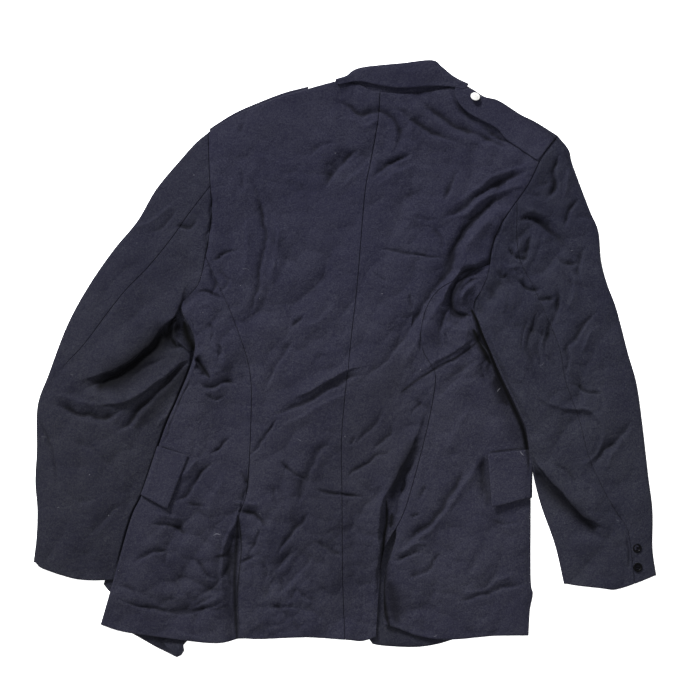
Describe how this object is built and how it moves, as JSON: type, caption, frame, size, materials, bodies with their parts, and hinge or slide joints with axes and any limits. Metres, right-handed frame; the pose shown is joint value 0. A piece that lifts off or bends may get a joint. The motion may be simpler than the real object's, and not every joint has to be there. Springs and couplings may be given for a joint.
{
  "type": "uniform dress jacket",
  "caption": "Dark navy wool dress jacket laid flat, face down: fold-over collar, button-down shoulder straps, set-in sleeves, side vents, pocket flaps",
  "frame": {"origin": "on the surface that the jacket lies on, below the middle of its box", "axes": "+X towards the jacket's right sleeve (it lies face down), +Y towards its collar, +Z away from the surface it lies on"},
  "size_m": [0.8474, 0.8063, 0.0194],
  "materials": {
    "navy_wool": "matt, fine wool-blend weave with a slight bloom",
    "silver_button": "silver-coloured metal, softly worn",
    "black_button": "black horn-like, semi-gloss"
  },
  "bodies": {
    "root": {"back_left": "navy_wool", "back_right": "navy_wool", "side_left": "navy_wool", "side_right": "navy_wool", "front_left": "navy_wool", "front_right": "navy_wool", "sleeve_top_left": "navy_wool", "sleeve_top_right": "navy_wool", "sleeve_under_left": "navy_wool", "sleeve_under_right": "navy_wool", "collar": "navy_wool", "collar_leaf_left": "navy_wool", "collar_leaf_right": "navy_wool", "lapel_left": "navy_wool", "lapel_right": "navy_wool", "epaulette_left": "navy_wool", "epaulette_right": "navy_wool", "pocket_flap_left": "navy_wool", "pocket_flap_right": "navy_wool", "epaulette_button_left": "silver_button", "epaulette_button_right": "silver_button", "front_button_1": "silver_button", "front_button_2": "silver_button", "front_button_3": "silver_button", "front_button_4": "silver_button", "cuff_button_left_1": "black_button", "cuff_button_left_2": "black_button", "cuff_button_right_1": "black_button", "cuff_button_right_2": "black_button"}
  },
  "joints": []
}
